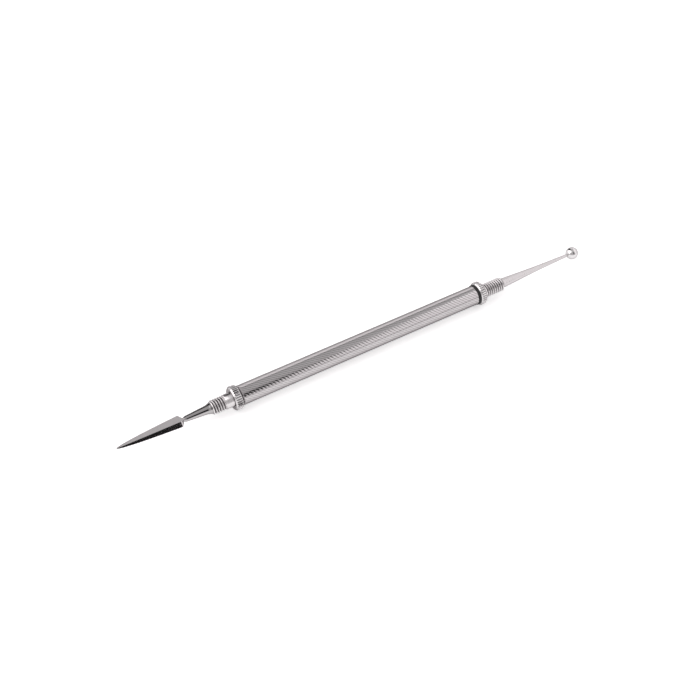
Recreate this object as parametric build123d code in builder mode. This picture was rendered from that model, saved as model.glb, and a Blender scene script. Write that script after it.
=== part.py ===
from build123d import *
import os
from math import cos, pi, radians, sin

# A pocket scriber with a lance blade at one end and a ball burnisher at the other.
# Both tips screw into a slim hollow handle. Millimetres, +Z up, the tool's axis along X.
# The origin is the middle of the handle on its axis. The blade points along -X, the ball along +X.

os.makedirs("parts", exist_ok=True)

BLADE_END = -1
BALL_END = 1

# Handle: a tube with a storage bore and a threaded mouth at each end
handle_length = 75.0
handle_radius = 2.75
handle_edge = 0.2
storage_radius = 1.70
mouth_depth = 7.0
mouth_countersink = 0.35

# M4 x 0.7 screw thread, used for both mouths and on the outer end of both studs
thread_radius = 2.0
thread_pitch = 0.7
thread_blank_turns = 3
thread_depth = 0.42
thread_crest = 0.09
groove_overshoot = 0.03
engaged_clearance = 0.05

# Rubber washer and knurled collar between the handle and the tip, together as long at both ends
flange_length = 2.55
blade_washer_thickness = 0.3
blade_washer_radius = 2.5
ball_washer_thickness = 0.7
ball_washer_radius = 2.95
collar_radius = 3.4
collar_ridges = 32
ridge_depth = 0.28
collar_edge = 0.45

# Studs: plain where the collar sits, threaded outside it
engaged_length = 5.6
blade_neck_length = 2.0
blade_thread_length = 4.0
ball_neck_length = 0.7
ball_thread_length = 6.2
stud_end_edge = 0.3
tang_radius = 1.0
tang_hole_depth = 7.0
tang_length = 6.7

# Blade shank and lance blade
shank_length = 8.0
shank_root_radius = 1.5
shank_root_length = 0.3
shank_bevel_radius = 0.80
shank_bevel_length = 0.7
shank_end_radius = 0.52
shank_waist = ((1.7, 1.18), (4.0, 1.03))  # distance from the stud and radius
lance_length = 17.6
lance_half_width = 1.62
lance_half_thickness = 0.46
lance_shoulder = 1.2
lance_lower_shoulder = 0.6
lance_neck_half_width = 0.42
lance_tang_radius = 0.38
lance_tang_hole_depth = 3.0
lance_tang_length = 2.8
lance_roll = 40.0
lance_ridge_offset = 0.12
lance_width_power = 0.53
lance_thickness_power = 0.5
lance_stations = (0.004, 0.05, 0.15, 0.3, 0.5, 0.75, 1.0)

# Ball stem and ball
stem_length = 25.65
stem_root_radius = 1.38
stem_taper = ((2.8, 1.27), (8.2, 0.97), (14.8, 0.70))  # distance from the stud and radius
ball_radius = 1.8
ball_spigot_radius = 0.42
ball_spigot_length = 0.9

handle_half = handle_length / 2
collar_outer = handle_half + flange_length
stud_inner = handle_half - engaged_length
blade_thread_start = collar_outer + blade_neck_length
blade_thread_end = blade_thread_start + blade_thread_length
ball_thread_start = collar_outer + ball_neck_length
ball_thread_end = ball_thread_start + ball_thread_length
shank_end = blade_thread_end + shank_length
lance_rear = shank_end + lance_shoulder
lance_tip = lance_rear + lance_length
ball_centre = ball_thread_end + stem_length


def placed(side, points):
    """Points of a half section, given as distance from the handle's middle and radius."""
    return [(side * distance, radius) for distance, radius in points]


def knurl_points(ridges, outer_radius, depth):
    """Outline of a straight V knurl, turned so that it can lie on a flat between two crests."""
    points = []
    for step in range(2 * ridges):
        angle = -pi / 2 + (step + 1) * pi / ridges
        radius = outer_radius if step % 2 == 0 else outer_radius - depth
        points.append((radius * cos(angle), radius * sin(angle)))
    return points


def lance_width(share):
    """Half width of the lance at a share of its length from the tip."""
    return lance_half_width * share**lance_width_power


def lance_thickness(share):
    """Half thickness of the lance on its ridge at a share of its length from the tip."""
    return lance_half_thickness * share**lance_thickness_power


def lance_plane(distance):
    """Plane across the lance, its local x across the blade and its local y along the ridge side."""
    roll = radians(lance_roll)
    return Plane(
        origin=(BLADE_END * distance, 0, 0),
        x_dir=(0, cos(roll), sin(roll)),
        z_dir=(-1, 0, 0),
    )


def lance_points(upper, lower, half_thickness):
    """Four-sided section from its two half widths, with both ridges a little off the middle."""
    ridge = -lance_ridge_offset * (upper + lower) / 2
    return [(upper, 0), (ridge, half_thickness), (-lower, 0), (ridge, -half_thickness)]


# ---------------------------------------------------------------- handle tube
with BuildPart() as handle_tube:
    with BuildSketch(Plane.XZ):
        Rectangle(handle_length, handle_radius, align=(Align.CENTER, Align.MIN))
    revolve(axis=Axis.X)
    chamfer(handle_tube.edges().filter_by(GeomType.CIRCLE), handle_edge)
    with BuildSketch(Plane.XZ):
        with BuildLine():
            mouth_floor = handle_half - mouth_depth
            mouth_edge = thread_radius + mouth_countersink
            Polyline(
                (-handle_half, 0),
                (-handle_half, mouth_edge),
                (-handle_half + mouth_countersink, thread_radius),
                (-mouth_floor, thread_radius),
                (-mouth_floor, storage_radius),
                (mouth_floor, storage_radius),
                (mouth_floor, thread_radius),
                (handle_half - mouth_countersink, thread_radius),
                (handle_half, mouth_edge),
                (handle_half, 0),
                close=True,
            )
        make_face()
    revolve(axis=Axis.X, mode=Mode.SUBTRACT)
handle_tube.part.label = "handle_tube"
export_step(handle_tube.part, "parts/handle_tube.step")


# ---------------------------------------------------------------- washers and collars
washers = (
    ("blade", BLADE_END, blade_washer_thickness, blade_washer_radius),
    ("ball", BALL_END, ball_washer_thickness, ball_washer_radius),
)
for end, side, washer_thickness, washer_radius in washers:
    collar_inner = handle_half + washer_thickness
    with BuildPart() as washer:
        with BuildSketch(Plane.YZ.offset(side * handle_half)):
            Circle(washer_radius)
            Circle(thread_radius + engaged_clearance, mode=Mode.SUBTRACT)
        extrude(amount=side * washer_thickness)
    washer.part.label = end + "_washer"
    export_step(washer.part, "parts/" + end + "_washer.step")

    with BuildPart() as collar:
        with BuildSketch(Plane.YZ.offset(side * collar_inner)):
            with BuildLine():
                Polyline(*knurl_points(collar_ridges, collar_radius, ridge_depth), close=True)
            make_face()
            Circle(thread_radius, mode=Mode.SUBTRACT)
        extrude(amount=side * (collar_outer - collar_inner))
        with BuildSketch(Plane.XZ):
            with BuildLine():
                Polyline(
                    *placed(
                        side,
                        [
                            (collar_inner, 0),
                            (collar_inner, collar_radius - collar_edge),
                            (collar_inner + collar_edge, collar_radius),
                            (collar_outer - collar_edge, collar_radius),
                            (collar_outer, collar_radius - collar_edge),
                            (collar_outer, 0),
                        ],
                    ),
                    close=True,
                )
            make_face()
        revolve(axis=Axis.X, mode=Mode.INTERSECT)
    collar.part.label = end + "_collar"
    export_step(collar.part, "parts/" + end + "_collar.step")


# ---------------------------------------------------------------- studs
studs = (
    ("blade", BLADE_END, blade_thread_start, blade_thread_end),
    ("ball", BALL_END, ball_thread_start, ball_thread_end),
)
for end, side, thread_start, thread_end in studs:
    with BuildPart() as stud:
        # an overlong blank, so that the thread's groove starts and ends inside metal
        blank_end = thread_end + thread_blank_turns * thread_pitch
        with BuildSketch(Plane.YZ.offset(side * stud_inner)):
            Circle(thread_radius)
        extrude(amount=side * (blank_end - stud_inner))
        with BuildLine() as helix:
            Helix(
                pitch=thread_pitch,
                height=thread_end - thread_start + thread_pitch,
                radius=thread_radius,
                center=(side * thread_start, 0, 0),
                direction=(side, 0, 0),
            )
        groove_start = helix.line @ 0
        groove_plane = Plane(
            origin=groove_start,
            x_dir=(0, groove_start.Y, groove_start.Z),
            z_dir=helix.line % 0,
        )
        with BuildSketch(groove_plane):
            with BuildLine():
                widening = 1 + groove_overshoot / thread_depth
                half_mouth = (thread_pitch - thread_crest) / 2 * widening
                Polyline(
                    (-thread_depth, 0),
                    (groove_overshoot, half_mouth),
                    (groove_overshoot, -half_mouth),
                    close=True,
                )
            make_face()
        sweep(path=helix.line, is_frenet=True, mode=Mode.SUBTRACT)
        with BuildSketch(Plane.XZ):
            with BuildLine():
                engaged_radius = thread_radius - engaged_clearance
                Polyline(
                    *placed(
                        side,
                        [
                            (stud_inner, 0),
                            (stud_inner, engaged_radius - stud_end_edge),
                            (stud_inner + stud_end_edge, engaged_radius),
                            (handle_half, engaged_radius),
                            (handle_half + engaged_clearance, thread_radius),
                            (thread_end - stud_end_edge, thread_radius),
                            (thread_end, thread_radius - stud_end_edge),
                            (thread_end, 0),
                        ],
                    ),
                    close=True,
                )
            make_face()
        revolve(axis=Axis.X, mode=Mode.INTERSECT)
        with BuildSketch(Plane.YZ.offset(side * thread_end)):
            Circle(tang_radius)
        extrude(amount=-side * tang_hole_depth, mode=Mode.SUBTRACT)
    stud.part.label = end + "_stud"
    export_step(stud.part, "parts/" + end + "_stud.step")


# ---------------------------------------------------------------- blade shank
with BuildPart() as blade_shank:
    with BuildSketch(Plane.XZ):
        with BuildLine():
            tang_end = blade_thread_end - tang_length
            root_end = blade_thread_end + shank_root_length
            bevel_start = shank_end - shank_bevel_length
            Polyline(
                *placed(
                    BLADE_END,
                    [
                        (shank_end, 0),
                        (tang_end, 0),
                        (tang_end, tang_radius),
                        (blade_thread_end, tang_radius),
                        (blade_thread_end, shank_root_radius),
                        (root_end, shank_root_radius),
                    ],
                )
            )
            Spline(
                *placed(
                    BLADE_END,
                    [
                        (root_end, shank_root_radius),
                        *[(blade_thread_end + along, radius) for along, radius in shank_waist],
                        (bevel_start, shank_bevel_radius),
                    ],
                )
            )
            Polyline(
                *placed(
                    BLADE_END,
                    [
                        (bevel_start, shank_bevel_radius),
                        (shank_end, shank_end_radius),
                        (shank_end, 0),
                    ],
                )
            )
        make_face()
    revolve(axis=Axis.X)
    with BuildSketch(Plane.YZ.offset(BLADE_END * shank_end)):
        Circle(lance_tang_radius)
    extrude(amount=lance_tang_hole_depth, mode=Mode.SUBTRACT)
blade_shank.part.label = "blade_shank"
export_step(blade_shank.part, "parts/blade_shank.step")


# ---------------------------------------------------------------- lance blade
with BuildPart() as lance_blade:
    for share in lance_stations:
        with BuildSketch(lance_plane(lance_tip - share * lance_length)):
            width = lance_width(share)
            Polygon(*lance_points(width, width, lance_thickness(share)), align=None)
    loft()
    shoulder_share = 1 - lance_lower_shoulder / lance_shoulder
    shoulder_drop = lance_half_width - lance_neck_half_width
    with BuildSketch(lance_plane(lance_rear)):
        Polygon(*lance_points(lance_half_width, lance_half_width, lance_half_thickness), align=None)
    with BuildSketch(lance_plane(shank_end + lance_lower_shoulder)):
        upper = lance_half_width - shoulder_drop * shoulder_share
        Polygon(*lance_points(upper, lance_half_width, lance_half_thickness), align=None)
    with BuildSketch(lance_plane(shank_end)):
        neck = lance_neck_half_width
        Polygon(*lance_points(neck, neck, neck), align=None)
    loft(ruled=True)
    with BuildSketch(Plane.YZ.offset(BLADE_END * shank_end)):
        Circle(lance_tang_radius)
    extrude(amount=lance_tang_length)
lance_blade.part.label = "lance_blade"
export_step(lance_blade.part, "parts/lance_blade.step")


# ---------------------------------------------------------------- ball stem
with BuildPart() as ball_stem:
    with BuildSketch(Plane.XZ):
        with BuildLine():
            tang_end = ball_thread_end - tang_length
            spigot_end = ball_centre - ball_radius + ball_spigot_length
            Polyline(
                (spigot_end, 0),
                (tang_end, 0),
                (tang_end, tang_radius),
                (ball_thread_end, tang_radius),
                (ball_thread_end, stem_root_radius),
            )
            Spline(
                (ball_thread_end, stem_root_radius),
                *[(ball_thread_end + along, radius) for along, radius in stem_taper],
                (ball_centre - ball_radius, ball_spigot_radius),
            )
            Polyline(
                (ball_centre - ball_radius, ball_spigot_radius),
                (spigot_end, ball_spigot_radius),
                (spigot_end, 0),
            )
        make_face()
    revolve(axis=Axis.X)
ball_stem.part.label = "ball_stem"
export_step(ball_stem.part, "parts/ball_stem.step")


# ---------------------------------------------------------------- burnisher ball
with BuildPart() as burnisher_ball:
    with BuildSketch(Plane.XZ):
        with BuildLine():
            Line((ball_centre - ball_radius, 0), (ball_centre + ball_radius, 0))
            ThreePointArc(
                (ball_centre + ball_radius, 0),
                (ball_centre, ball_radius),
                (ball_centre - ball_radius, 0),
            )
        make_face()
    revolve(axis=Axis.X)
    with BuildSketch(Plane.YZ.offset(ball_centre - ball_radius)):
        Circle(ball_spigot_radius)
    extrude(amount=ball_spigot_length, mode=Mode.SUBTRACT)
burnisher_ball.part.label = "burnisher_ball"
export_step(burnisher_ball.part, "parts/burnisher_ball.step")
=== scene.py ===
"""Double-ended pocket scriber in Blender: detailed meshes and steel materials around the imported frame.

Metres throughout. The tool lies along X with its blade towards -X, as in the CAD model.
"""

from math import asin, atan, atan2, cos, pi, radians, sin, tan

import bpy
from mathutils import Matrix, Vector


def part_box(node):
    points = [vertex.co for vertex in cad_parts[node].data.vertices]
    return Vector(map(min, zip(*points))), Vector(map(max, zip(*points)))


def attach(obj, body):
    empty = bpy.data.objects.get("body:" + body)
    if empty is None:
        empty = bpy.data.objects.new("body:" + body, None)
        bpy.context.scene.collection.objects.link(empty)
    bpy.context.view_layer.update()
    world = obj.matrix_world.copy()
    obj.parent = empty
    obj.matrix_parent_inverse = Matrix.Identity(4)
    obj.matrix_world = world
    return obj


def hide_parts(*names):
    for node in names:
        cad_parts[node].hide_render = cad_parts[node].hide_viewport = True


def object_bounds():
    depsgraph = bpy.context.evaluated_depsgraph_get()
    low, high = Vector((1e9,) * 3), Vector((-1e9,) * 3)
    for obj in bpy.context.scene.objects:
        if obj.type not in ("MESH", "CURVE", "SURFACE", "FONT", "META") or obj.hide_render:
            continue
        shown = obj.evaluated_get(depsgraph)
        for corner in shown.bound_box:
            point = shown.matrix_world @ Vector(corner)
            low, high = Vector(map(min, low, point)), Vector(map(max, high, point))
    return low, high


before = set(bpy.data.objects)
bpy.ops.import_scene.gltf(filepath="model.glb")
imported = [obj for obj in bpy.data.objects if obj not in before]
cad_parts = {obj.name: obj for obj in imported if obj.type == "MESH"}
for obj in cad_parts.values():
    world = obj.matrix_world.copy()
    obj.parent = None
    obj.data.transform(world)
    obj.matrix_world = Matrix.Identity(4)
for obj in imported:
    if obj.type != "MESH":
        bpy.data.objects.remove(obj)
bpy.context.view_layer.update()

MM = 0.001
BLADE_END = -1
BALL_END = 1


# ------------------------------------------------------------------ sizes from the frame
def reach(node):
    """(nearest, furthest) distance of a CAD node from the handle's middle, along the axis."""
    low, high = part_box(node)
    return tuple(sorted((abs(low.x), abs(high.x))))


def radius_of(node):
    low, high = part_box(node)
    return (high.z - low.z) / 2


HANDLE_HALF = reach("handle_tube")[1]
HANDLE_RADIUS = radius_of("handle_tube")
HANDLE_EDGE = 0.2 * MM
HANDLE_EDGE_STEPS = 4
HANDLE_STEP = 0.25 * MM
MOUTH_DEPTH = 7.0 * MM
MOUTH_COUNTERSINK = 0.35 * MM
STORAGE_RADIUS = 1.7 * MM
BORE_STEP = 1.0 * MM
KNURL_STARTS = 18
KNURL_LEAD = 18.0 * MM
KNURL_DEPTH = 0.009 * MM
KNURL_GROOVE = 0.65  # a groove's width as a share of the spacing
KNURL_SEGMENTS = 12  # round the handle for each start

WASHER_BULGE = 0.1 * MM
WASHER_BULGE_STEPS = 8
ROUND_SEGMENTS = 96
SHANK_SEGMENTS = 64  # round the shank and the stem

THREAD_RADIUS = radius_of("blade_stud")
THREAD_PITCH = 0.7 * MM
THREAD_DEPTH = 0.40 * MM
THREAD_ROOT = 0.1  # half of the root's flat, and then a flank, as shares of half a pitch
THREAD_FLANK = 0.75
THREAD_RUNOUT = 0.35 * MM
THREAD_STEP = 0.035 * MM
ENGAGED_CLEARANCE = 0.05 * MM
ENGAGED_PLAIN = 0.4 * MM  # unthreaded length inside the handle's face
BLADE_NECK = 2.0 * MM
BALL_NECK = 0.7 * MM
STUD_EDGE = 0.3 * MM
STUD_HOLE = 7.0 * MM
TANG_RADIUS = 1.0 * MM
HAIR = 0.001 * MM  # a step too short to see

COLLAR_RADIUS = 3.4 * MM
COLLAR_RIDGES = 32
RIDGE_DEPTH = 0.2 * MM
RIDGE_POWER = 1.3  # above 1 for broad crests between narrow dips
RIDGE_SEGMENTS = 8  # round the collar for each ridge
COLLAR_EDGE = 0.45 * MM
COLLAR_EDGE_STEPS = 6
COLLAR_STEP = 0.2 * MM
COLLAR_FACE_RINGS = (0.5 * MM, 0.04 * MM)  # in from the edge, so that the faces shade flat

# Curves of (distance from the stud's face, radius) in millimetres
SHANK_CURVE = ((0.3, 1.5), (1.0, 1.28), (1.9, 1.17), (4.0, 1.03))
STEM_CURVE = ((0.0, 1.38), (2.8, 1.27), (8.2, 0.97), (14.8, 0.70))
SHANK_STEPS = 40
STEM_STEPS = 80

SHANK_END = reach("blade_shank")[1]
SHANK_BEVEL = 0.7 * MM
SHANK_BEVEL_RADIUS = 0.8 * MM
SHANK_TIP_RADIUS = 0.52 * MM
LANCE_TANG_RADIUS = 0.38 * MM
LANCE_TANG_DEPTH = 3.0 * MM

LANCE_TIP = reach("lance_blade")[1]
LANCE_LENGTH = 17.6 * MM
LANCE_REAR = LANCE_TIP - LANCE_LENGTH
LANCE_LOWER_REAR = SHANK_END + 0.6 * MM
LANCE_HALF_WIDTH = 1.62 * MM
LANCE_HALF_THICKNESS = 0.46 * MM
LANCE_NECK = 0.42 * MM
LANCE_ROLL = radians(40.0)
LANCE_RIDGE_OFFSET = 0.12
EDGE_LAND = 0.02 * MM
EDGE_LAND_LIMIT = 0.4  # of the half thickness, near the tip

LANCE_SECTIONS = 40
LANCE_CROWDING = 1.5  # above 1 to set sections closer towards the tip
LANCE_BLUNT = 0.004  # share of the length at which the tip is cut off
LANCE_WIDTH_POWER = 0.53
LANCE_THICKNESS_POWER = 0.5
SHOULDER_SECTIONS = 10
SHOULDER_POWER = 1.35

BALL_RADIUS = radius_of("burnisher_ball")
BALL_CENTRE = reach("burnisher_ball")[1] - BALL_RADIUS
BALL_STEPS = 48
STEM_NECK = 1.0 * MM
STEM_NECK_START_RADIUS = 0.47 * MM
STEM_NECK_RADIUS = 0.42 * MM
STEM_SPIGOT = 0.5 * MM
BALL_DIMPLE = 0.3 * MM  # closes the ball's skin inside the stem
FILLET_ON_STEM = 0.02 * MM
FILLET_TOP_RADIUS = 0.6 * MM
FILLET_END_RADIUS = 0.62 * MM
FILLET_LIFT = 0.01 * MM

FLOOR_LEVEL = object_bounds()[0].z


# ------------------------------------------------------------------ mesh helpers
def mesh_piece(name, vertices, faces, smooth=True):
    mesh = bpy.data.meshes.new(name)
    mesh.from_pydata(vertices, [], faces)
    mesh.validate()
    mesh.update()
    for polygon in mesh.polygons:
        polygon.use_smooth = smooth
    piece = bpy.data.objects.new(name, mesh)
    bpy.context.scene.collection.objects.link(piece)
    return piece


def lathe(name, side, stations, segments, twist_lead=None, closed_ring=False):
    """A turned piece about X from stations (distance, radius or radius(angle)), in order along its skin.

    A station of radius 0 closes an end with one point. With closed_ring the last station joins the first.
    twist_lead turns each ring with distance, so that edges follow a helix of that lead.
    """
    vertices, rings = [], []
    for distance, radius in stations:
        x = side * distance
        turn = 2 * pi * x / twist_lead if twist_lead else 0.0
        if radius == 0:
            rings.append([len(vertices)])
            vertices.append((x, 0.0, 0.0))
            continue
        ring = []
        for step in range(segments):
            angle = 2 * pi * step / segments + turn
            r = radius(angle) if callable(radius) else radius
            ring.append(len(vertices))
            vertices.append((x, r * cos(angle), r * sin(angle)))
        rings.append(ring)
    faces = []
    pairs = list(zip(rings, rings[1:]))
    if closed_ring:
        pairs.append((rings[-1], rings[0]))
    for first, second in pairs:
        for step in range(segments):
            after = (step + 1) % segments
            if len(first) == 1:
                face = (first[0], second[after], second[step])
            elif len(second) == 1:
                face = (first[step], first[after], second[0])
            else:
                face = (first[step], first[after], second[after], second[step])
            faces.append(face if side > 0 else tuple(reversed(face)))
    return mesh_piece(name, vertices, faces)


def spread(start, end, step):
    """Evenly spaced distances from start to end, both included."""
    count = max(1, round(abs(end - start) / step))
    return [start + (end - start) * i / count for i in range(count + 1)]


def smooth_curve(points, count):
    """Points on a monotone curve through (distance, radius) points, as (distance, radius)."""
    xs = [p[0] for p in points]
    ys = [p[1] for p in points]
    slopes = [(ys[i + 1] - ys[i]) / (xs[i + 1] - xs[i]) for i in range(len(xs) - 1)]
    tangents = [slopes[0]]
    for before, after in zip(slopes, slopes[1:]):
        tangents.append(0.0 if before * after <= 0 else 2 * before * after / (before + after))
    tangents.append(slopes[-1])
    out = []
    for i in range(len(xs) - 1):
        width = xs[i + 1] - xs[i]
        share = max(2, round(count * width / (xs[-1] - xs[0])))
        for k in range(share):
            t = k / share
            a = (1 + 2 * t) * (1 - t) ** 2
            b = t * (1 - t) ** 2
            c = t * t * (3 - 2 * t)
            d = t * t * (t - 1)
            y = a * ys[i] + b * width * tangents[i] + c * ys[i + 1] + d * width * tangents[i + 1]
            out.append((xs[i] + t * width, y))
    out.append((xs[-1], ys[-1]))
    return out


def curve_from(face, curve):
    """A curve in millimetres from a face, in metres along the axis."""
    return [(face + distance * MM, radius * MM) for distance, radius in curve]


def mark_grooves(piece, share_at):
    """Stores how deep each point lies in a groove, 0 to 1, for the shade painted into groove bottoms."""
    marks = piece.data.attributes.new("groove", "FLOAT", "POINT")
    for vertex in piece.data.vertices:
        x, y, z = vertex.co
        radius = (y * y + z * z) ** 0.5
        marks.data[vertex.index].value = share_at(x, radius, atan2(z, y))


# ------------------------------------------------------------------ materials
STEEL_EDGE_TINT = (0.2, 0.19, 0.193, 1)
# near-black painted shade for the bottoms of grooves
PAINTED_GROOVE_SHADE_COLOUR = (0.03, 0.027, 0.028, 1)
NOISE_RANGE = (0.3, 0.7)  # noise hardly leaves this range
LINES_SHARE = 0.6  # of the fine lines in tone and roughness, the rest being soft clouds
LINES_RELIEF = 0.01 * MM

HANDLE_TONE = (0.49, 0.472, 0.478)
COLLAR_TONE = (0.60, 0.585, 0.59)
THREAD_TONE = (0.66, 0.64, 0.646)
SHANK_TONE = (0.43, 0.416, 0.42)
BLADE_TONE = (0.60, 0.575, 0.582)
STEM_TONE = (0.60, 0.577, 0.583)
BALL_TONE = (0.66, 0.645, 0.65)

# Fine lines on steel, per millimetre along X, Y and Z
TURNED = (9.0, 0.4, 0.4)
GROUND = (7.0, 0.5, 0.5)
MACHINED = (6.0, 3.0, 3.0)
SATIN = (5.0, 0.6, 0.6)
POLISHED = (2.0, 2.0, 2.0)


def steel(name, tone, lines_per_mm, rough, scratch, bump, tint, groove_shade=0.0):
    """Bare steel with fine lines in its tone, roughness and relief.

    rough is its roughness and scratch the share by which that varies, tint the share by which the tone
    varies, bump the relief's strength, and the last argument how dark the shade painted into the bottoms of
    marked grooves is.
    """
    material = bpy.data.materials.new(name)
    material.use_nodes = True
    nodes, links = material.node_tree.nodes, material.node_tree.links
    shader = nodes["Principled BSDF"]
    shader.inputs["Metallic"].default_value = 1.0
    shader.inputs["Specular Tint"].default_value = STEEL_EDGE_TINT

    place = nodes.new("ShaderNodeTexCoord")
    stretch = nodes.new("ShaderNodeMapping")
    stretch.inputs["Scale"].default_value = [s / MM for s in lines_per_mm]
    links.new(place.outputs["Object"], stretch.inputs["Vector"])

    lines = nodes.new("ShaderNodeTexNoise")
    lines.inputs["Scale"].default_value = 1.0
    lines.inputs["Detail"].default_value = 4.0
    lines.inputs["Roughness"].default_value = 0.65
    links.new(stretch.outputs["Vector"], lines.inputs["Vector"])

    cloud = nodes.new("ShaderNodeTexNoise")
    cloud.inputs["Scale"].default_value = 0.35 / MM
    cloud.inputs["Detail"].default_value = 3.0
    links.new(place.outputs["Object"], cloud.inputs["Vector"])

    blend = nodes.new("ShaderNodeMath")
    blend.operation = "MULTIPLY_ADD"
    blend.inputs[1].default_value = LINES_SHARE
    links.new(lines.outputs["Fac"], blend.inputs[0])
    scaled_cloud = nodes.new("ShaderNodeMath")
    scaled_cloud.operation = "MULTIPLY"
    scaled_cloud.inputs[1].default_value = 1 - LINES_SHARE
    links.new(cloud.outputs["Fac"], scaled_cloud.inputs[0])
    links.new(scaled_cloud.outputs[0], blend.inputs[2])

    colour = nodes.new("ShaderNodeValToRGB")
    dark = [c * (1 - tint) for c in tone]
    light = [min(1.0, c * (1 + tint)) for c in tone]
    for element, position, shade in zip(colour.color_ramp.elements, NOISE_RANGE, (dark, light)):
        element.position = position
        element.color = (*shade, 1)
    links.new(blend.outputs[0], colour.inputs["Fac"])
    # painted shade: the bottoms of marked grooves are darkened towards a near-black colour
    if groove_shade:
        groove = nodes.new("ShaderNodeAttribute")
        groove.attribute_name = "groove"
        depth = nodes.new("ShaderNodeMapRange")
        depth.interpolation_type = "SMOOTHSTEP"
        depth.inputs["From Min"].default_value = 0.4
        depth.inputs["From Max"].default_value = 1.0
        depth.inputs["To Max"].default_value = groove_shade
        links.new(groove.outputs["Fac"], depth.inputs["Value"])
        paint_groove_shade = nodes.new("ShaderNodeMix")
        paint_groove_shade.data_type = "RGBA"
        paint_groove_shade.inputs["B"].default_value = PAINTED_GROOVE_SHADE_COLOUR
        links.new(depth.outputs["Result"], paint_groove_shade.inputs["Factor"])
        links.new(colour.outputs["Color"], paint_groove_shade.inputs["A"])
        links.new(paint_groove_shade.outputs["Result"], shader.inputs["Base Color"])
    else:
        links.new(colour.outputs["Color"], shader.inputs["Base Color"])

    roughness = nodes.new("ShaderNodeMapRange")
    roughness.inputs["From Min"].default_value = NOISE_RANGE[0]
    roughness.inputs["From Max"].default_value = NOISE_RANGE[1]
    roughness.inputs["To Min"].default_value = rough * (1 - scratch)
    roughness.inputs["To Max"].default_value = rough * (1 + scratch)
    links.new(blend.outputs[0], roughness.inputs["Value"])
    links.new(roughness.outputs["Result"], shader.inputs["Roughness"])

    relief = nodes.new("ShaderNodeBump")
    relief.inputs["Strength"].default_value = bump
    relief.inputs["Distance"].default_value = LINES_RELIEF
    links.new(lines.outputs["Fac"], relief.inputs["Height"])
    links.new(relief.outputs["Normal"], shader.inputs["Normal"])
    return material


def rubber(name):
    """Matt black rubber with a fine grain."""
    material = bpy.data.materials.new(name)
    material.use_nodes = True
    nodes, links = material.node_tree.nodes, material.node_tree.links
    shader = nodes["Principled BSDF"]
    shader.inputs["Specular IOR Level"].default_value = 0.35
    place = nodes.new("ShaderNodeTexCoord")
    grain = nodes.new("ShaderNodeTexNoise")
    grain.inputs["Scale"].default_value = 6.0 / MM
    grain.inputs["Detail"].default_value = 3.0
    links.new(place.outputs["Object"], grain.inputs["Vector"])
    colour = nodes.new("ShaderNodeValToRGB")
    colour.color_ramp.elements[0].color = (0.006, 0.006, 0.006, 1)
    colour.color_ramp.elements[1].color = (0.03, 0.03, 0.031, 1)
    links.new(grain.outputs["Fac"], colour.inputs["Fac"])
    links.new(colour.outputs["Color"], shader.inputs["Base Color"])
    roughness = nodes.new("ShaderNodeMapRange")
    roughness.inputs["To Min"].default_value = 0.5
    roughness.inputs["To Max"].default_value = 0.8
    links.new(grain.outputs["Fac"], roughness.inputs["Value"])
    links.new(roughness.outputs["Result"], shader.inputs["Roughness"])
    relief = nodes.new("ShaderNodeBump")
    relief.inputs["Strength"].default_value = 0.3
    relief.inputs["Distance"].default_value = 0.02 * MM
    links.new(grain.outputs["Fac"], relief.inputs["Height"])
    links.new(relief.outputs["Normal"], shader.inputs["Normal"])
    return material


def finish_piece(piece, body, node, material):
    """Gives a piece its material and its place in the frame."""
    piece.data.materials.clear()
    piece.data.materials.append(material)
    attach(piece, body)
    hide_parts(node)


def flatten_sharp(piece, degrees):
    """Keeps edges sharper than an angle crisp while the rest stays smooth."""
    piece.data.set_sharp_from_angle(angle=radians(degrees))


# the last value in a call sets how dark the painted shade in that part's groove bottoms is
handle_steel = steel(
    "handle_satin_steel", HANDLE_TONE, TURNED, rough=0.1, scratch=0.25, bump=0.12, tint=0.05, groove_shade=0.65
)
collar_steel = steel(
    "collar_bright_steel", COLLAR_TONE, MACHINED, rough=0.14, scratch=0.35, bump=0.2, tint=0.05, groove_shade=0.8
)
thread_steel = steel(
    "thread_steel", THREAD_TONE, TURNED, rough=0.25, scratch=0.35, bump=0.2, tint=0.05, groove_shade=0.85
)
shank_steel = steel("shank_mirror_steel", SHANK_TONE, TURNED, rough=0.05, scratch=0.4, bump=0.05, tint=0.02)
blade_steel = steel("blade_ground_steel", BLADE_TONE, GROUND, rough=0.1, scratch=0.3, bump=0.12, tint=0.06)
stem_steel = steel("stem_satin_steel", STEM_TONE, SATIN, rough=0.3, scratch=0.2, bump=0.2, tint=0.04)
ball_steel = steel("ball_mirror_steel", BALL_TONE, POLISHED, rough=0.05, scratch=0.4, bump=0.03, tint=0.02)
washer_rubber = rubber("washer_rubber")


# ------------------------------------------------------------------ handle
def knurl_groove(x, angle):
    """Depth share of the one-way diagonal knurl, from 0 on a ridge to 1 in a groove."""
    phase = (KNURL_STARTS * (angle / (2 * pi) - x / KNURL_LEAD)) % 1.0
    off_centre = abs(phase - 0.5) * 2
    return max(0.0, 1 - off_centre / KNURL_GROOVE) ** 2


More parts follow.
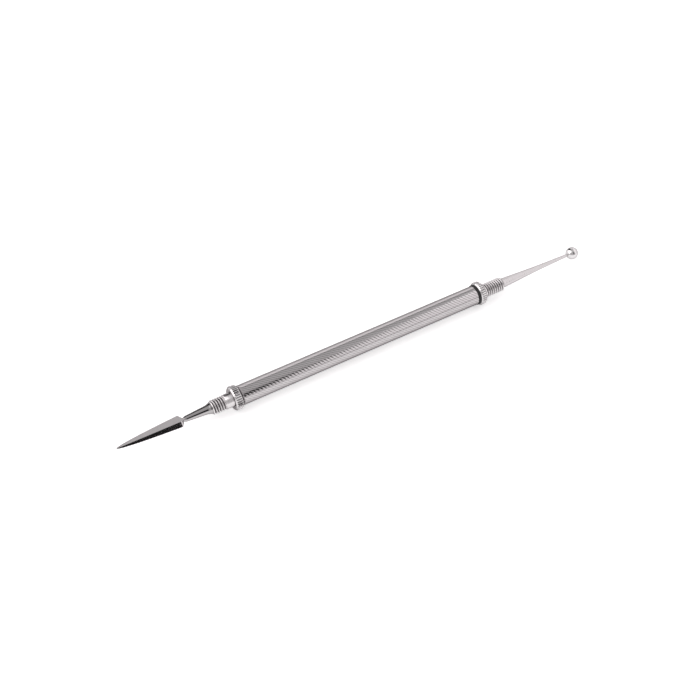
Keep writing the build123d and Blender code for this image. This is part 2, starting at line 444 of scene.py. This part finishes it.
def make_handle():
    def skin(distance, cap):
        """Knurled radius at one distance, cut down to cap at the chamfers."""

        def radius(angle):
            return min(HANDLE_RADIUS - KNURL_DEPTH * knurl_groove(distance, angle), cap)

        return radius

    # painted shade in the knurl's grooves, not on the chamfers or in the bore
    def groove_shade_at(x, radius, angle):
        return knurl_groove(x, angle) if radius > HANDLE_RADIUS - HANDLE_EDGE else 0.0

    plain = HANDLE_HALF - HANDLE_EDGE
    cuts = [HANDLE_EDGE * step / HANDLE_EDGE_STEPS for step in range(1, HANDLE_EDGE_STEPS + 1)]
    stations = [(-plain - cut, skin(-plain - cut, HANDLE_RADIUS - cut)) for cut in reversed(cuts)]
    stations += [(d, skin(d, HANDLE_RADIUS)) for d in spread(-plain, plain, HANDLE_STEP)]
    stations += [(plain + cut, skin(plain + cut, HANDLE_RADIUS - cut)) for cut in cuts]

    mouth_edge = THREAD_RADIUS + MOUTH_COUNTERSINK
    mouth_start = HANDLE_HALF - MOUTH_COUNTERSINK
    mouth_floor = HANDLE_HALF - MOUTH_DEPTH
    stations += [(HANDLE_HALF, mouth_edge), (mouth_start, THREAD_RADIUS)]
    stations += [(d, THREAD_RADIUS) for d in spread(mouth_start, mouth_floor, BORE_STEP)[1:]]
    stations += [(d, STORAGE_RADIUS) for d in spread(mouth_floor, -mouth_floor, BORE_STEP)]
    stations += [(d, THREAD_RADIUS) for d in spread(-mouth_floor, -mouth_start, BORE_STEP)]
    stations += [(-HANDLE_HALF, mouth_edge)]
    segments = KNURL_STARTS * KNURL_SEGMENTS
    piece = lathe("handle_tube_knurled", BALL_END, stations, segments, KNURL_LEAD, closed_ring=True)
    flatten_sharp(piece, degrees=40)
    mark_grooves(piece, groove_shade_at)
    finish_piece(piece, "handle", "handle_tube", handle_steel)


# ------------------------------------------------------------------ washers
def make_washer(end, side):
    inner, outer = reach(end + "_washer")
    bore = THREAD_RADIUS + ENGAGED_CLEARANCE
    rim = radius_of(end + "_washer") - WASHER_BULGE
    middle = (inner + outer) / 2
    profile = [(inner, bore), (inner, rim)]
    for step in range(1, WASHER_BULGE_STEPS):
        angle = pi * step / WASHER_BULGE_STEPS
        profile.append((middle - (middle - inner) * cos(angle), rim + WASHER_BULGE * sin(angle)))
    profile += [(outer, rim), (outer, bore)]
    piece = lathe(end + "_washer_ring", side, profile, ROUND_SEGMENTS, closed_ring=True)
    flatten_sharp(piece, degrees=50)
    finish_piece(piece, end + "_carrier", end + "_washer", washer_rubber)


# ------------------------------------------------------------------ collars
def make_collar(end, side):
    inner, outer = reach(end + "_collar")

    def dip(angle):
        phase = (COLLAR_RIDGES * angle / (2 * pi) + 0.5) % 1.0
        return (1 - abs(phase - 0.5) * 2) ** RIDGE_POWER

    def ridged(cap):
        return lambda angle: min(COLLAR_RADIUS - RIDGE_DEPTH * dip(angle), cap)

    def groove_shade_at(x, radius, angle):
        """Painted shade in the dips between ridges, down to just below their bottoms."""
        return dip(angle) if radius > COLLAR_RADIUS - RIDGE_DEPTH * 1.05 else 0.0

    low = COLLAR_RADIUS - COLLAR_EDGE
    face_rings = [low - inset for inset in COLLAR_FACE_RINGS]
    cuts = [COLLAR_EDGE * step / COLLAR_EDGE_STEPS for step in range(COLLAR_EDGE_STEPS + 1)]
    stations = [(inner, THREAD_RADIUS)]
    stations += [(inner, radius) for radius in face_rings]
    stations += [(inner + cut, ridged(low + cut)) for cut in cuts]
    rim = spread(inner + COLLAR_EDGE, outer - COLLAR_EDGE, COLLAR_STEP)
    stations += [(d, ridged(COLLAR_RADIUS)) for d in rim[1:]]
    stations += [(outer - COLLAR_EDGE + cut, ridged(COLLAR_RADIUS - cut)) for cut in cuts[1:]]
    stations += [(outer, radius) for radius in reversed(face_rings)]
    stations += [(outer, THREAD_RADIUS)]
    piece = lathe(end + "_collar_knurled", side, stations, COLLAR_RIDGES * RIDGE_SEGMENTS, closed_ring=True)
    flatten_sharp(piece, degrees=30)
    mark_grooves(piece, groove_shade_at)
    finish_piece(piece, end + "_unit", end + "_collar", collar_steel)


# ------------------------------------------------------------------ studs
def thread_dip(side, distance, angle):
    """Depth of a right-hand V thread at one point, from 0 on its crest to 1 at its root."""
    phase = (side * distance / THREAD_PITCH - angle / (2 * pi)) % 1.0
    off_root = abs(phase - 0.5) * 2
    return min(1.0, max(0.0, 1 - (off_root - THREAD_ROOT) / THREAD_FLANK))


def make_stud(end, side, neck):
    """Stud through the collar: thread in the handle, plain part, neck, exposed thread and tang hole."""
    inner, outer = reach(end + "_stud")
    handle_face = reach(end + "_washer")[0]
    engaged_end = handle_face - ENGAGED_PLAIN
    thread_start = reach(end + "_collar")[1] + neck
    hole = outer - STUD_HOLE

    def fullness(distance):
        """Share of the full thread depth at one distance: none on the plain part under the collar."""
        if distance < handle_face:
            return min(1.0, max(0.0, (engaged_end - distance) / THREAD_RUNOUT))
        return min(1.0, max(0.0, (distance - thread_start) / THREAD_RUNOUT))

    def surface(distance):
        crest = THREAD_RADIUS - (ENGAGED_CLEARANCE if distance < handle_face else 0.0)
        inner_cap = crest - STUD_EDGE + (distance - inner)
        outer_cap = THREAD_RADIUS - STUD_EDGE + (outer - distance)
        cap = min(crest, inner_cap, outer_cap)
        depth = THREAD_DEPTH * fullness(distance)
        if depth == 0:
            return cap
        return lambda angle: min(cap, crest - depth * thread_dip(side, distance, angle))

    def groove_shade_at(x, radius, angle):
        """Painted shade in the thread only, and not in the hole or on the end."""
        if radius < THREAD_RADIUS - THREAD_DEPTH * 1.2 or abs(x) > outer - 0.5 * STUD_EDGE:
            return 0.0
        return fullness(abs(x)) * thread_dip(side, abs(x), angle)

    stations = [(inner, 0.0)]
    stations += [(d, surface(d)) for d in spread(inner, engaged_end, THREAD_STEP)]
    stations += [(handle_face - HAIR, THREAD_RADIUS - ENGAGED_CLEARANCE), (handle_face, THREAD_RADIUS)]
    stations += [(thread_start, THREAD_RADIUS)]
    stations += [(d, surface(d)) for d in spread(thread_start, outer, THREAD_STEP)[1:]]
    stations += [(outer, TANG_RADIUS), (hole, TANG_RADIUS), (hole, 0.0)]
    piece = lathe(end + "_stud_threaded", side, stations, ROUND_SEGMENTS)
    flatten_sharp(piece, degrees=55)
    mark_grooves(piece, groove_shade_at)
    finish_piece(piece, end + "_unit", end + "_stud", thread_steel)


# ------------------------------------------------------------------ blade shank and lance
def make_shank():
    """Flared shank with a tang in the stud and a hole for the blade's tang."""
    inner, outer = reach("blade_shank")
    face = reach("blade_stud")[1]
    curve = curve_from(face, SHANK_CURVE) + [(outer - SHANK_BEVEL, SHANK_BEVEL_RADIUS)]
    hole = outer - LANCE_TANG_DEPTH
    profile = [(inner, 0.0), (inner, TANG_RADIUS), (face, TANG_RADIUS), (face, curve[0][1])]
    profile += smooth_curve(curve, SHANK_STEPS)
    profile += [(outer, SHANK_TIP_RADIUS), (outer, LANCE_TANG_RADIUS), (hole, LANCE_TANG_RADIUS), (hole, 0.0)]
    piece = lathe("blade_shank_polished", BLADE_END, profile, SHANK_SEGMENTS)
    flatten_sharp(piece, degrees=30)
    finish_piece(piece, "blade_unit", "blade_shank", shank_steel)


def make_lance():
    """Spear blade of four ground facets, with shoulders, and a neck that meets the shank."""
    across = Vector((0, cos(LANCE_ROLL), sin(LANCE_ROLL)))
    ridge = Vector((0, -across.z, across.y))

    def section(distance, upper, lower, half_thickness, full_width):
        """Six points: two ridges a little off the middle, and a flat land on each edge.

        The facets slope as for full_width, so that a narrower outline cuts them off and widens the land.
        """
        centre = Vector((BLADE_END * distance, 0, 0))
        least_land = min(EDGE_LAND, half_thickness * EDGE_LAND_LIMIT)
        crown = centre - across * full_width * LANCE_RIDGE_OFFSET

        def land(width, crown_side):
            height = half_thickness * (1 - width / full_width)
            return max(least_land, height / (1 + crown_side * LANCE_RIDGE_OFFSET))

        return [
            centre + across * upper + ridge * land(upper, 1),
            crown + ridge * half_thickness,
            centre - across * lower + ridge * land(lower, -1),
            centre - across * lower - ridge * land(lower, -1),
            crown - ridge * half_thickness,
            centre + across * upper - ridge * land(upper, 1),
        ]

    sections = []
    for k in range(LANCE_SECTIONS + 1):
        share = max(LANCE_BLUNT, (k / LANCE_SECTIONS) ** LANCE_CROWDING)
        width = LANCE_HALF_WIDTH * share**LANCE_WIDTH_POWER
        thickness = LANCE_HALF_THICKNESS * share**LANCE_THICKNESS_POWER
        sections.append(section(LANCE_TIP - share * LANCE_LENGTH, width, width, thickness, width))
    for k in range(1, SHOULDER_SECTIONS + 1):
        share = k / SHOULDER_SECTIONS
        along = LANCE_REAR + (SHANK_END - LANCE_REAR) * share
        lower_share = max(0.0, (LANCE_LOWER_REAR - along) / (LANCE_LOWER_REAR - SHANK_END))
        upper = LANCE_HALF_WIDTH + (LANCE_NECK - LANCE_HALF_WIDTH) * share**SHOULDER_POWER
        lower = LANCE_HALF_WIDTH + (LANCE_NECK - LANCE_HALF_WIDTH) * lower_share
        thickness = LANCE_HALF_THICKNESS + (LANCE_NECK - LANCE_HALF_THICKNESS) * share
        sections.append(section(along, upper, lower, thickness, LANCE_HALF_WIDTH))

    points = len(sections[0])
    vertices = [tuple(p) for s in sections for p in s]
    faces = [tuple(range(points))]
    for k in range(len(sections) - 1):
        a, b = points * k, points * (k + 1)
        for i in range(points):
            j = (i + 1) % points
            faces.append((a + i, b + i, b + j, a + j))
    last = points * (len(sections) - 1)
    faces.append(tuple(last + i for i in reversed(range(points))))
    piece = mesh_piece("lance_blade_ground", vertices, faces)
    flatten_sharp(piece, degrees=8)
    finish_piece(piece, "blade_unit", "lance_blade", blade_steel)


# ------------------------------------------------------------------ ball stem and ball
def make_stem():
    """Tapered stem with a tang in the stud and a spigot in the ball."""
    inner = reach("ball_stem")[0]
    face = reach("ball_stud")[1]
    neck = BALL_CENTRE - BALL_RADIUS
    curve = curve_from(face, STEM_CURVE)
    curve += [(neck - STEM_NECK, STEM_NECK_START_RADIUS), (neck, STEM_NECK_RADIUS)]
    profile = [(inner, 0.0), (inner, TANG_RADIUS), (face, TANG_RADIUS)]
    profile += smooth_curve(curve, STEM_STEPS)
    profile += [(neck + STEM_SPIGOT, STEM_NECK_RADIUS), (neck + STEM_SPIGOT, 0.0)]
    piece = lathe("ball_stem_tapered", BALL_END, profile, SHANK_SEGMENTS)
    flatten_sharp(piece, degrees=30)
    finish_piece(piece, "ball_unit", "ball_stem", stem_steel)


def make_ball():
    """Ball with a small fillet where the stem enters it."""
    near = BALL_CENTRE - BALL_RADIUS
    start = asin(FILLET_END_RADIUS / BALL_RADIUS)
    profile = [
        (near + BALL_DIMPLE, 0.0),
        (near - FILLET_ON_STEM, STEM_NECK_RADIUS + FILLET_LIFT),
        (BALL_CENTRE - BALL_RADIUS * cos(start) - FILLET_LIFT, FILLET_TOP_RADIUS),
    ]
    for step in range(1, BALL_STEPS):
        angle = start + (pi - start) * step / BALL_STEPS
        profile.append((BALL_CENTRE - BALL_RADIUS * cos(angle), BALL_RADIUS * sin(angle)))
    profile.append((BALL_CENTRE + BALL_RADIUS, 0.0))
    piece = lathe("burnisher_ball_polished", BALL_END, profile, ROUND_SEGMENTS)
    finish_piece(piece, "ball_unit", "burnisher_ball", ball_steel)


make_handle()
for end_name, end_side in (("blade", BLADE_END), ("ball", BALL_END)):
    make_washer(end_name, end_side)
    make_collar(end_name, end_side)
make_stud("blade", BLADE_END, BLADE_NECK)
make_stud("ball", BALL_END, BALL_NECK)
make_shank()
make_lance()
make_stem()
make_ball()


# ------------------------------------------------------------------ floor, light and camera
FLOOR_HALF = 3.0
FLOOR_TONE = (0.8, 0.8, 0.8, 1)
FLOOR_GLOW = 0.48


def make_floor():
    """White floor that glows a little, so that it reads as the plain white of a studio table."""
    corners = ((-1, -1), (1, -1), (1, 1), (-1, 1))
    vertices = [(x * FLOOR_HALF, y * FLOOR_HALF, FLOOR_LEVEL) for x, y in corners]
    piece = mesh_piece("floor", vertices, [(0, 1, 2, 3)], smooth=False)
    material = bpy.data.materials.new("floor_white")
    material.use_nodes = True
    shader = material.node_tree.nodes["Principled BSDF"]
    shader.inputs["Base Color"].default_value = FLOOR_TONE
    shader.inputs["Emission Color"].default_value = (1.0, 1.0, 1.0, 1)
    shader.inputs["Emission Strength"].default_value = FLOOR_GLOW
    shader.inputs["Roughness"].default_value = 0.9
    shader.inputs["Specular IOR Level"].default_value = 0.1
    piece.data.materials.append(material)


SOFTBOX_PLACE = Vector((0.0, 0.05, 0.6))
SOFTBOX_TARGET = Vector((0, 0, 0))
SOFTBOX_WIDTH = 0.9
SOFTBOX_HEIGHT = 0.6
SOFTBOX_WATTS = 0.54


def make_softbox():
    light = bpy.data.lights.new("overhead_softbox", "AREA")
    light.shape = "RECTANGLE"
    light.size = SOFTBOX_WIDTH
    light.size_y = SOFTBOX_HEIGHT
    light.energy = SOFTBOX_WATTS
    lamp = bpy.data.objects.new("overhead_softbox", light)
    bpy.context.scene.collection.objects.link(lamp)
    lamp.location = SOFTBOX_PLACE
    lamp.rotation_mode = "QUATERNION"
    lamp.rotation_quaternion = (SOFTBOX_TARGET - SOFTBOX_PLACE).to_track_quat("-Z", "Y")


# Studio light by direction. Tilt is the angle from straight up towards the front (-Y), along is the
# direction's share of +X. A pair of numbers is where an area starts and ends to fade in or out.
LIGHT_BRIGHT = 1.25
LIGHT_MID = 0.34
LIGHT_FRONT = 0.6
LIGHT_DARK = 0.01
LIGHT_TINT = (1.0, 0.972, 0.978)
FRONT_TILT = (radians(16), radians(26))

CORNER_TILT = (radians(36), radians(44))
CORNER_START = (-0.15, 0.0)
CORNER_END = (0.28, 0.4)

EDGE_TILT = radians(75)  # upper edge of the big light at EDGE_ALONG
EDGE_ALONG = 0.30
EDGE_SLOPE = radians(450)  # how fast that edge rises towards the ball end
EDGE_SOFTNESS = radians(2)

STRIP_BRIGHT = 1.3
STRIP_START = (radians(-84), radians(-76))
STRIP_END = (radians(-44), radians(-38))
STRIP_ALONG = (0.2, 0.27)

SIDE_BRIGHT = 2.2
SIDE_ALONG = (-0.42, -0.28)
SIDE_TILT = (radians(0), radians(35))

LIGHT_SCREEN = 0.85
SCREEN_TOP = 0.22  # as the direction's share of +Z
SCREEN_SOFTNESS = 0.04


def make_world():
    """Studio surroundings by direction.

    Grey overhead, paler in front, a big white light low in front whose upper edge rises towards the
    ball end, an unlit corner in front that the blade's end mirrors, a long light behind, a light at the
    blade end and a low pale screen.
    """
    world = bpy.data.worlds.new("studio")
    bpy.context.scene.world = world
    world.use_nodes = True
    nodes, links = world.node_tree.nodes, world.node_tree.links

    def value(operation, *inputs):
        node = nodes.new("ShaderNodeMath")
        node.operation = operation
        for socket, source in zip(node.inputs, inputs):
            if isinstance(source, (int, float)):
                socket.default_value = source
            else:
                links.new(source, socket)
        return node.outputs[0]

    def ramp(source, start, end):
        """Smooth step of a value, from 0 at start to 1 at end."""
        node = nodes.new("ShaderNodeMapRange")
        node.interpolation_type = "SMOOTHSTEP"
        node.inputs["From Min"].default_value = start
        node.inputs["From Max"].default_value = end
        links.new(source, node.inputs["Value"])
        return node.outputs["Result"]

    def inverse(share):
        return value("SUBTRACT", 1.0, share)

    def mix(share, first, second):
        """The first light where the share is 0, and the second where it is 1."""
        return value("ADD", value("MULTIPLY", inverse(share), first), value("MULTIPLY", share, second))

    place = nodes.new("ShaderNodeTexCoord")
    split = nodes.new("ShaderNodeSeparateXYZ")
    links.new(place.outputs["Generated"], split.inputs[0])
    along = split.outputs["X"]
    tilt = value("ARCTAN2", value("MULTIPLY", split.outputs["Y"], -1.0), split.outputs["Z"])

    # the unlit corner low in front, which the blade's end mirrors
    corner_span = value("MULTIPLY", ramp(along, *CORNER_START), inverse(ramp(along, *CORNER_END)))
    corner = value("MULTIPLY", ramp(tilt, *CORNER_TILT), corner_span)
    front = mix(ramp(tilt, *FRONT_TILT), LIGHT_MID, LIGHT_FRONT)
    sky = mix(corner, front, LIGHT_DARK)
    # the big light, below a slanting edge
    past_edge = value("ADD", tilt, value("MULTIPLY", value("SUBTRACT", along, EDGE_ALONG), EDGE_SLOPE))
    lit = ramp(past_edge, EDGE_TILT - EDGE_SOFTNESS, EDGE_TILT + EDGE_SOFTNESS)
    sky = mix(lit, sky, LIGHT_BRIGHT)
    # the long light behind, dark towards the blade
    strip = value("MULTIPLY", ramp(tilt, *STRIP_START), inverse(ramp(tilt, *STRIP_END)))
    strip_light = mix(ramp(along, *STRIP_ALONG), LIGHT_DARK, STRIP_BRIGHT)
    sky = mix(strip, sky, strip_light)
    # the light above and behind at the blade end, which only faces turned that way catch
    side_light = value("MULTIPLY", inverse(ramp(along, *SIDE_ALONG)), inverse(ramp(tilt, *SIDE_TILT)))
    sky = mix(side_light, sky, SIDE_BRIGHT)
    # a low pale screen all round
    above_screen = ramp(split.outputs["Z"], SCREEN_TOP - SCREEN_SOFTNESS, SCREEN_TOP)
    sky = mix(above_screen, LIGHT_SCREEN, sky)

    colour = nodes.new("ShaderNodeCombineColor")
    for channel, tint in zip(("Red", "Green", "Blue"), LIGHT_TINT):
        links.new(value("MULTIPLY", sky, tint), colour.inputs[channel])
    links.new(colour.outputs["Color"], nodes["Background"].inputs["Color"])
    nodes["Background"].inputs["Strength"].default_value = 1.0


CAMERA_ELEVATION = radians(44.3)
IMAGE_SLOPE = radians(23.25)  # of the tool's axis in the picture
CAMERA_TURN = atan(tan(IMAGE_SLOPE) / sin(CAMERA_ELEVATION))
CAMERA_DISTANCE = 359.8 * MM
LENS = 68.1
AIM_SHIFT = -3.67 * MM
AIM_DROP = -0.62 * MM


def make_camera():
    data = bpy.data.cameras.new("camera")
    data.sensor_width = 36.0
    data.lens = LENS
    data.clip_start = 0.01
    data.clip_end = 50.0
    camera = bpy.data.objects.new("camera", data)
    bpy.context.scene.collection.objects.link(camera)
    back = Vector(
        (
            -sin(CAMERA_TURN) * cos(CAMERA_ELEVATION),
            -cos(CAMERA_TURN) * cos(CAMERA_ELEVATION),
            sin(CAMERA_ELEVATION),
        )
    )
    target = Vector((AIM_SHIFT, 0, AIM_DROP))
    camera.location = target + back * CAMERA_DISTANCE
    camera.rotation_mode = "QUATERNION"
    camera.rotation_quaternion = (-back).to_track_quat("-Z", "Y")
    bpy.context.scene.camera = camera


make_floor()
make_world()
make_softbox()
make_camera()
bpy.context.scene.view_settings.view_transform = "Standard"
